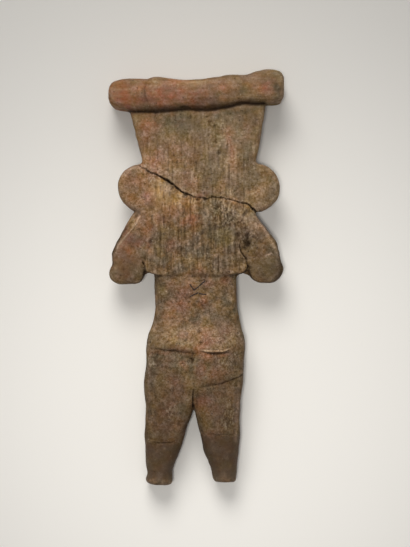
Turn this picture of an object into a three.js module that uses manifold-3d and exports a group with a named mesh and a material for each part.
// A small hand-modelled terracotta figurine, lying face down on the table it rests on.
// Millimetres, +Z up. The head points along +Y and the figure's back faces +Z.
// The origin is under the middle of the figure, on the table.
// The figurine is one piece of fired clay: slabs, rolls and pellets pressed together before firing,
// so every form below is joined into a single solid. It once broke across the head and was mended,
// which leaves an open line round the join.

import * as THREE from "three";
import { mergeVertices } from "three/addons/utils/BufferGeometryUtils.js";
import Module from "manifold-3d";

const wasm = await Module();
wasm.setup();

// Driving dimensions. The figure is 120 mm long, from the soles to the top of the headband.
const soleY = -60; // lowest point of the left foot
const hemY = 0.8; // lower edge of the hair that hangs down the back
const beltY = -20.8; // edge where the back ends in a low step over the buttocks
const crotchY = -37.6; // where the legs part
const tableZ = 0; // the table that the headband and the toes rest on

// Every table of a slab reads: place along the figure, left edge, right edge, back, front.
const headTable = [
  [52.4, -19.9, 20.6, 13.4, 4.4],
  [47.0, -18.8, 19.6, 13.6, 4.3],
  [41.2, -17.3, 18.7, 13.9, 4.2],
  [33.5, -15.4, 17.4, 14.3, 4.1],
  [26.0, -14.8, 16.6, 14.7, 4.1],
  [19.0, -13.4, 14.2, 15.0, 5.4],
  [13.0, -12.0, 12.2, 15.3, 9.6],
  [6.4, -13.4, 14.2, 15.4, 9.8],
  [3.4, -14.6, 15.0, 15.3, 9.8],
  [hemY, -13.2, 14.0, 15.1, 10.0],
];
const torsoTable = [
  [20.0, -13.2, 13.6, 13.6, 7.6],
  [16.0, -15.8, 16.2, 14.1, 5.4],
  [10.0, -15.0, 15.0, 14.3, 3.5],
  [4.0, -12.8, 12.6, 14.2, 3.2],
  [-1.0, -11.7, 11.5, 14.1, 2.9],
  [-8.5, -11.9, 11.9, 14.1, 2.1],
  [-13.0, -12.5, 12.8, 14.6, 2.2],
  [-17.0, -13.6, 13.5, 15.2, 3.2],
  [beltY, -13.9, 13.5, 15.6, 5.8],
];
const pelvisTable = [
  [-14.0, -12.7, 12.7, 12.0, 5.8],
  [-18.9, -14.3, 13.8, 14.2, 2.9],
  [-22.2, -14.5, 14.0, 14.9, 2.6],
  [-27.2, -14.4, 13.6, 15.1, 2.7],
  [-31.6, -14.1, 12.8, 14.2, 4.0],
  [-36.2, -13.2, 11.8, 11.8, 6.4],
];
const leftLegTable = [
  [-25.5, -13.8, -0.9, 10.4, 6.8],
  [-30.5, -14.4, -0.4, 14.0, 3.2],
  [-35.0, -14.4, -0.6, 14.4, 2.6],
  [-39.0, -14.4, -1.2, 13.8, 2.5],
  [-42.8, -14.5, -2.4, 13.1, 2.5],
  [-47.5, -14.6, -4.0, 12.1, 2.6],
  [-52.5, -14.6, -5.7, 10.9, 2.6],
  [-56.6, -14.2, -6.9, 9.9, 1.2],
  [-58.6, -14.7, -6.9, 9.8, -0.9],
  [soleY, -14.2, -7.2, 9.3, -0.9],
];
const rightLegTable = [
  [-25.5, 0.2, 12.8, 10.4, 6.8],
  [-30.5, -0.4, 13.2, 14.0, 3.2],
  [-35.0, -0.5, 12.9, 14.4, 2.6],
  [-39.0, -0.2, 12.8, 13.9, 2.5],
  [-41.2, 0.1, 12.7, 13.5, 2.5],
  [-45.1, 0.9, 12.6, 12.7, 2.6],
  [-49.8, 2.3, 12.2, 11.5, 2.6],
  [-54.1, 3.9, 11.7, 10.3, 2.1],
  [-57.6, 4.8, 11.5, 9.7, -0.9],
  [soleY + 0.7, 5.2, 11.7, 9.2, -0.9],
];
const leftArmTable = [
  [19.2, -17.6, -9.0, 13.0, 7.6],
  [17.0, -19.0, -9.0, 13.8, 6.6],
  [14.3, -20.6, -9.0, 14.2, 6.0],
  [10.0, -22.9, -10.0, 14.3, 5.4],
  [6.4, -24.3, -12.6, 14.1, 5.0],
  [3.4, -24.6, -14.6, 13.7, 4.8],
  [1.2, -24.9, -15.2, 13.2, 4.8],
  [-1.5, -24.4, -15.9, 12.4, 5.4],
];
const rightArmTable = [
  [19.2, 9.0, 16.8, 13.0, 7.6],
  [16.2, 9.0, 18.4, 13.8, 6.6],
  [14.3, 9.5, 20.1, 14.2, 6.0],
  [9.2, 11.0, 23.6, 14.3, 5.4],
  [6.4, 12.6, 24.3, 14.1, 5.0],
  [4.0, 14.8, 24.6, 13.8, 4.8],
  [2.2, 15.3, 25.1, 13.3, 4.8],
  [-1.3, 16.4, 24.4, 12.4, 5.4],
];

// The headband: a thick roll of clay laid across the top, higher at its right end.
const bandLeft = -25.25;
const bandRight = 25.25;
const bandMiddle = [[bandLeft, 53.3], [-14, 52.8], [-3, 52.8], [6, 53.5], [15, 55.0], [bandRight, 55.3]];
const bandHalfHeight = [[bandLeft, 4.0], [-20, 4.5], [-15.2, 4.6], [-11.3, 4.95], [-4, 4.4],
  [6, 4.5], [10, 4.5], [14.2, 4.05], [20.8, 4.83], [bandRight, 4.5]];
const bandBack = [[bandLeft, 14.9], [-16, 15.7], [-11, 16.2], [0, 15.8], [12, 16.0], [20, 16.3],
  [bandRight, 15.4]];
const bandFront = -0.35; // pressed flat where the table trims it

// The round ear ornaments, each with a small hollow in its front.
const discRadius = 6.8;
const discEdge = 1.5; // how far the rim is rounded over
const discHollow = { radius: 2.6, depth: 0.9 };
const discs = [
  { x: -15.5, y: 25.9, back: 13.3, front: 6.0 },
  { x: 17.2, y: 25.8, back: 13.5, front: 6.2 },
];

// Combed grooves down the hair, which fan out a little towards the headband.
const groovesEachSide = 8;
const groovePitch = [[13, 1.24], [50, 2.0]];
const grooveDepth = 0.3;

// The mended break, from the left edge of the head down to the right shoulder.
const breakLine = [[-16.2, 32.4], [-14.9, 31.4], [-13.2, 30.5], [-10.3, 29.2], [-8.3, 28.0], [-4.9, 25.5],
  [-3.3, 24.3], [0.0, 23.1], [3.5, 22.9], [6.0, 23.3], [10.5, 22.4], [15.1, 21.1], [17.2, 19.0]];
const breakWidth = 0.42;
const breakDepth = 2.4;
const joinZ = 9.5; // middle of the thin layer that stays whole right across the join
const joinThickness = 1.6;

// The face is plain and calm: its middle line, and the heights of its features.
const faceX = 0.9;
const faceY = 28.2;
const eyeY = 28.6;
const eyeX = 5.6; // from the middle of the face
const noseTopY = 31.4;
const noseTipY = 24.6;
const mouthY = 21.2;
const hairlineArch = [[-12.8, 4.4], [-10.6, 8.6], [-5.6, 11.3], [0, 12.1], [5.6, 11.3], [10.6, 8.6],
  [12.8, 4.4]]; // from the middle of the face

// Small forms, by their centres, with the figure's left and right alike.
const chest = { x: 5.8, y: 10.6, z: 4.4, size: [3.4, 3.1, 2.4] };
const hand = { x: 5.4, y: 3.5, z: 2.9, size: [4.5, 2.8, 1.7] };
const forearmPath = [[21.6, 0.9, 9.4], [18.6, 1.6, 6.2], [12.4, 2.6, 4.2], [7.0, 3.2, 3.2]];
const navel = { y: -8.6, z: 1.2, size: [1.0, 1.0, 1.4] };
const fingerPitch = 1.25;
const notchWidth = 0.4; // between fingers, toes and eyelids

// A smooth curve through [place, value] pairs that never overshoots them. Places may rise or fall.
function curve(pairs) {
  const keys = [...pairs].sort((a, b) => a[0] - b[0]);
  const rise = (i) => (keys[i + 1][1] - keys[i][1]) / (keys[i + 1][0] - keys[i][0]);
  const slopes = keys.map((_, i) => {
    if (i === 0) return rise(0);
    if (i === keys.length - 1) return rise(i - 1);
    const before = rise(i - 1);
    const after = rise(i);
    return before * after <= 0 ? 0 : (2 * before * after) / (before + after);
  });
  return (at) => {
    const place = Math.min(Math.max(at, keys[0][0]), keys[keys.length - 1][0]);
    let i = 0;
    while (i < keys.length - 2 && place > keys[i + 1][0]) i += 1;
    const span = keys[i + 1][0] - keys[i][0];
    const t = (place - keys[i][0]) / span;
    const s = 1 - t;
    return (
      (1 + 2 * t) * s * s * keys[i][1] +
      t * s * s * span * slopes[i] +
      t * t * (3 - 2 * t) * keys[i + 1][1] -
      t * t * s * span * slopes[i + 1]
    );
  };
}

// Evenly spread places between the two corners of a slab, as shares of its flat half width.
const spread = (count) => Array.from({ length: count }, (_, i) => (2 * (i + 1)) / (count + 1) - 1);

// A rounded rectangle, as [x, z, depth] in order from the middle of its left side, over the back.
// backPlaces and frontPlaces are the places of the points between the corners, from left to right.
// A back place may bring a depth of its own, which is handed on.
function section(halfWidth, halfHeight, corner, round, backPlaces, frontPlaces) {
  const radius = Math.min(corner, halfWidth, halfHeight);
  const flatX = halfWidth - radius;
  const flatZ = halfHeight - radius;
  const turn = (sideX, sideZ, startAngle) =>
    Array.from({ length: round + 1 }, (_, j) => {
      const angle = startAngle - (j / round) * (Math.PI / 2);
      return [sideX * flatX + radius * Math.cos(angle), sideZ * flatZ + radius * Math.sin(angle), 0];
    });
  return [
    [-halfWidth, 0, 0],
    ...turn(-1, 1, Math.PI),
    ...backPlaces.map(({ share, depth }) => [share * flatX, halfHeight, depth]),
    ...turn(1, 1, Math.PI / 2),
    [halfWidth, 0, 0],
    ...turn(1, -1, 0),
    ...[...frontPlaces].reverse().map((share) => [share * flatX, -halfHeight, 0]),
    ...turn(-1, -1, -Math.PI / 2),
  ];
}

// Rows of a slab with softly blunt ends: how far along, and how much each row draws in.
function blunt(start, end, step, rounding) {
  const way = Math.sign(end - start);
  const length = Math.abs(end - start);
  const count = Math.max(1, Math.round((length - 2 * rounding) / step));
  const cap = [0, 0.5, 1].map((share) => {
    const angle = (share * Math.PI) / 2;
    return { along: rounding * (1 - Math.cos(angle)), inset: rounding * (1 - Math.sin(angle)) };
  });
  const rows = [{ at: start, pole: true, inset: 0 }];
  cap.forEach((c) => rows.push({ at: start + way * c.along, inset: c.inset }));
  for (let i = 1; i < count; i += 1) {
    rows.push({ at: start + way * (rounding + ((length - 2 * rounding) * i) / count), inset: 0 });
  }
  cap.reverse().forEach((c) => rows.push({ at: end - way * c.along, inset: c.inset }));
  rows.push({ at: end, pole: true, inset: 0 });
  return rows;
}

// A ball of clay, drawn out into rows of points. ring(j) gives row j, and a pole is a row of one point.
function drawnOut(columns, rows, ring) {
  const geometry = new THREE.SphereGeometry(1, columns, rows);
  const position = geometry.getAttribute("position");
  for (let j = 0; j <= rows; j += 1) {
    const points = ring(j);
    for (let i = 0; i <= columns; i += 1) {
      const point = points.length === 1 ? points[0] : points[i % columns];
      position.setXYZ(j * (columns + 1) + i, ...point);
    }
  }
  return solid(geometry);
}

// A closed three.js geometry as a solid.
function solid(geometry) {
  const bare = geometry.clone();
  bare.deleteAttribute("normal");
  bare.deleteAttribute("uv");
  const merged = mergeVertices(bare, 1e-4);
  const corners = Array.from(merged.index.array);
  const kept = [];
  for (let i = 0; i < corners.length; i += 3) {
    const [a, b, c] = corners.slice(i, i + 3);
    if (a !== b && b !== c && c !== a) kept.push(a, b, c);
  }
  return new wasm.Manifold(
    new wasm.Mesh({
      numProp: 3,
      vertProperties: merged.getAttribute("position").array,
      triVerts: new Uint32Array(kept),
    }),
  );
}

// A slab along the figure, from a table of its edges. grooves(at, flatX) may lay out the back's points.
function slab(table, { step = 3, corner = 2.5, across = 6, round = 2, rounding = 1.2, crown = 0.5, lean = 0,
  grooves = null, inset = 0 } = {}) {
  const edge = (column) => curve(table.map((row) => [row[0], row[column]]));
  const [left, right, back, front] = [1, 2, 3, 4].map(edge);
  const rows = blunt(table[0][0], table[table.length - 1][0], step, rounding);
  const plain = spread(across).map((share) => ({ share, depth: 0 }));
  const backPlaces = (at, flatX) => (grooves ? grooves(at, flatX) : plain);
  const ring = ({ at, pole, inset: drawnIn }) => {
    const middleX = (left(at) + right(at)) / 2;
    const middleZ = (back(at) + front(at)) / 2;
    if (pole) return [[middleX, at + lean * middleX, middleZ]];
    const halfWidth = (right(at) - left(at)) / 2 - drawnIn - inset;
    const halfHeight = (back(at) - front(at)) / 2 - drawnIn - inset;
    const places = backPlaces(at, halfWidth - corner);
    return section(halfWidth, halfHeight, corner, round, places, spread(across)).map(([x, z, depth]) => {
      const swell = crown * (1 - (x / halfWidth) ** 2) * Math.sign(z);
      return [middleX + x, at + lean * (middleX + x), middleZ + z + swell - depth];
    });
  };
  return drawnOut(ring(rows[1]).length, rows.length - 1, (j) => ring(rows[j]));
}

// A rounded roll along a curve in space. radii(share) gives its half width and half thickness.
function roll(points, radii, { columns = 12, rows = 10 } = {}) {
  const path = new THREE.CatmullRomCurve3(points.map((p) => new THREE.Vector3(...p)));
  const up = new THREE.Vector3(0, 0, 1);
  return drawnOut(columns, rows, (j) => {
    const share = (1 - Math.cos((Math.PI * j) / rows)) / 2;
    const centre = path.getPoint(share);
    if (j === 0 || j === rows) return [centre.toArray()];
    const along = path.getTangent(share);
    const side = new THREE.Vector3().crossVectors(up, along).normalize();
    const lift = new THREE.Vector3().crossVectors(along, side);
    const [width, thickness] = radii(share);
    const rounded = Math.min(1, Math.sqrt(1 - (2 * share - 1) ** 2) * 1.25);
    return Array.from({ length: columns }, (_, i) => {
      const angle = (2 * Math.PI * i) / columns;
      return centre
        .clone()
        .addScaledVector(side, -Math.cos(angle) * width * rounded)
        .addScaledVector(lift, Math.sin(angle) * thickness * rounded)
        .toArray();
    });
  });
}

// A pressed-on pellet: an egg shape turned in the plane of the figure.
function pellet([x, y, z], [halfX, halfY, halfZ], turnDegrees = 0, segments = 12) {
  const geometry = new THREE.SphereGeometry(1, segments, Math.round(segments * 0.7));
  geometry.scale(halfX, halfY, halfZ);
  geometry.rotateZ(THREE.MathUtils.degToRad(turnDegrees));
  geometry.translate(x, y, z);
  return solid(geometry);
}

// A box that cuts, centred on a point and turned in the plane of the figure.
function blade([x, y, z], [width, length, height], turnDegrees = 0) {
  const geometry = new THREE.BoxGeometry(width, length, height);
  geometry.rotateZ(THREE.MathUtils.degToRad(turnDegrees));
  geometry.translate(x, y, z);
  return solid(geometry);
}

const joined = (solids) => solids.reduce((all, next) => all.add(next));

// The points across the combed back: ridges and grooves by turns.
function combed(at, flatX) {
  const pitch = curve(groovePitch)(at);
  const fade = Math.min(1, Math.max(0, (at - hemY - 0.6) / 2));
  return Array.from({ length: 4 * groovesEachSide - 1 }, (_, i) => {
    const halfSteps = i + 1 - 2 * groovesEachSide;
    return { share: (halfSteps * pitch) / 2 / flatX, depth: halfSteps % 2 === 0 ? 0 : grooveDepth * fade };
  });
}

// The back of the head with its tall headdress, and the hair that runs on down to the hem.
const headAndHair = () =>
  slab(headTable, { step: 5, across: 5, corner: 2.2, rounding: 0.6, grooves: combed });

function headband() {
  const middle = curve(bandMiddle);
  const half = curve(bandHalfHeight);
  const back = curve(bandBack);
  const rows = blunt(bandLeft, bandRight, 2.2, 2.4);
  const backPlaces = spread(2).map((share) => ({ share, depth: 0 }));
  const ring = ({ at, inset, pole }) => {
    const middleZ = (back(at) + bandFront) / 2;
    if (pole) return [[at, middle(at), middleZ]];
    const halfY = half(at) - inset;
    const halfZ = (back(at) - bandFront) / 2 - inset;
    const points = section(halfY, halfZ, 3.6, 3, backPlaces, spread(2));
    return points.map(([y, z]) => [at, middle(at) + y, middleZ + z]);
  };
  return drawnOut(ring(rows[1]).length, rows.length - 1, (j) => ring(rows[j]));
}

function earDisc({ x, y, back, front }, inset = 0) {
  const half = (back - front) / 2 - inset;
  const radius = discRadius - inset;
  const hollow = inset ? 0 : discHollow.depth;
  const rim = [0.5, 1].map((share) => {
    const angle = (share * Math.PI) / 2;
    return { out: discEdge * (1 - Math.sin(angle)), in: discEdge * (1 - Math.cos(angle)) };
  });
  const profile = [
    [0, -half + hollow],
    [discHollow.radius - 0.6, -half + hollow],
    [discHollow.radius, -half],
    [radius - discEdge, -half],
    ...rim.map((r) => [radius - r.out, -half + r.in]),
    ...[...rim].reverse().map((r) => [radius - r.out, half - r.in]),
    [radius - discEdge, half],
    [0, half],
  ].map(([out, height]) => new THREE.Vector2(out, height));
  const geometry = new THREE.LatheGeometry(profile, 24);
  geometry.rotateX(Math.PI / 2);
  geometry.translate(x, y, (back + front) / 2);
  return solid(geometry);
}

// A forearm from the elbow to the hand laid on the belly. The gaps part its four fingers.
function forearm(side) {
  const turn = side * -8;
  const arm = roll(
    forearmPath.map(([x, y, z]) => [side * x, y, z]),
    (share) => [3.2 - 0.6 * share, 3.0 - 0.9 * share],
    { columns: 12, rows: 9 },
  );
  const palm = pellet([side * hand.x, hand.y, hand.z], hand.size, turn);
  const gaps = [-1, 0, 1].map((step) =>
    blade([side * 3.0, hand.y + 0.3 + step * fingerPitch, 1.3], [4.0, notchWidth, 1.3], turn));
  return { clay: arm.add(palm), gaps };
}

// A calm, plain face: lidded eyes, a short nose and a closed mouth, with the hair laid round it.
function face() {
  const plate = pellet([faceX, faceY, 6.6], [12.6, 10.6, 4.9], 0, 18);
  const nose = roll(
    [[faceX, noseTopY, 3.0], [faceX, (noseTopY + noseTipY) / 2, 1.9], [faceX, noseTipY, 1.7]],
    (share) => [1.0 + 1.2 * share, 0.8 + 0.6 * share],
    { columns: 10, rows: 7 },
  );
  const bothEyes = (make) => [-1, 1].map((side) => make(faceX + side * eyeX, side * 4));
  const eyes = bothEyes((x, turn) => pellet([x, eyeY, 2.6], [2.9, 1.45, 1.2], turn));
  const lids = bothEyes((x, turn) => blade([x, eyeY - 0.2, 1.2], [4.4, notchWidth, 0.9], turn));
  const mouth = pellet([faceX, mouthY, 3.0], [3.0, 1.3, 1.2]);
  const lips = blade([faceX, mouthY, 1.6], [4.4, notchWidth, 0.9]);
  const hairline = roll(
    hairlineArch.map(([x, y]) => [faceX + x, faceY + y, 3.7]),
    () => [1.5, 1.2],
    { columns: 8, rows: 16 },
  );
  return { clay: joined([plate, nose, ...eyes, mouth, hairline]), cuts: [...lids, lips] };
}

// The thin crooked sheet of the break, left whole in the middle where the join is set.
function mendedBreak() {
  const path = breakLine.map(([x, y]) => new THREE.Vector2(x, y));
  const side = (sign) =>
    path.map((point, i) => {
      const before = path[Math.max(0, i - 1)];
      const after = path[Math.min(path.length - 1, i + 1)];
      const along = after.clone().sub(before).normalize();
      return point.clone().add(new THREE.Vector2(-along.y, along.x).multiplyScalar((sign * breakWidth) / 2));
    });
  const outline = new THREE.Shape([...side(1), ...side(-1).reverse()]);
  const sheet = new THREE.ExtrudeGeometry(outline, { depth: 22, bevelEnabled: false, steps: 1 });
  sheet.translate(0, 0, -2);
  const core = slab(headTable, { step: 6, across: 3, corner: 1.5, rounding: 0.6, inset: breakDepth });
  const layer = blade([faceX, 26, joinZ], [60, 30, joinThickness]);
  return solid(sheet).subtract(joined([core, layer, ...discs.map((disc) => earDisc(disc, breakDepth / 2))]));
}

// Notches that part the four toes of a foot between two edges.
function toeGaps(left, right) {
  const width = (right - left) / 4;
  return [1, 2, 3].map((i) => blade([left + width * i, soleY + 1.2, 0.8], [notchWidth, 4.4, 2.0]));
}

const arms = [-1, 1].map(forearm);
const features = face();

const clay = joined([
  headAndHair(),
  slab(torsoTable, { step: 3.6, rounding: 0.7, lean: -0.03 }),
  slab(pelvisTable, { step: 3.8, rounding: 2.0 }),
  slab(leftLegTable, { step: 3.4, corner: 3.6, across: 3, rounding: 1.3, crown: 0.6 }),
  slab(rightLegTable, { step: 3.4, corner: 3.6, across: 3, rounding: 1.3, crown: 0.6 }),
  slab(leftArmTable, { step: 2.8, corner: 2.4, across: 3, rounding: 1.6, crown: 0.3 }),
  slab(rightArmTable, { step: 2.8, corner: 2.4, across: 3, rounding: 1.6, crown: 0.3 }),
  headband(),
  ...discs.map((disc) => earDisc(disc)),
  ...arms.map((arm) => arm.clay),
  features.clay,
  ...[-1, 1].map((side) => pellet([side * chest.x, chest.y, chest.z], chest.size)),
]);

const cuts = joined([
  ...features.cuts,
  ...arms.flatMap((arm) => arm.gaps),
  ...toeGaps(-14.3, -7.2),
  ...toeGaps(5.2, 11.6),
  mendedBreak(),
  pellet([-1.1, -25.3, 15.9], [0.8, 2.6, 1.9], 2), // the dent between the buttocks
  pellet([-0.7, crotchY + 2.2, 15.0], [0.6, 3.6, 2.6]), // the parting above the legs, behind
  pellet([-0.7, crotchY + 2.2, 2.4], [0.6, 3.4, 1.8]), // and in front
  pellet([0, navel.y, navel.z], navel.size),
  blade([0, 0, tableZ - 5], [200, 200, 10]), // the table trims the resting spots flat
]);

const finished = clay.subtract(cuts);
const pieces = finished.decompose().sort((a, b) => b.volume() - a.volume());
const mesh = pieces[0].getMesh();
const geometry = new THREE.BufferGeometry();
geometry.setAttribute("position", new THREE.BufferAttribute(mesh.vertProperties, 3));
geometry.setIndex(new THREE.BufferAttribute(mesh.triVerts, 1));
geometry.computeVertexNormals();

const terracotta = new THREE.MeshStandardMaterial({ color: 0x8a6a4e, roughness: 0.85, metalness: 0 });
const figurine = new THREE.Mesh(geometry, terracotta);
figurine.name = "figurine";

const part = new THREE.Group();
part.add(figurine);
export default part;
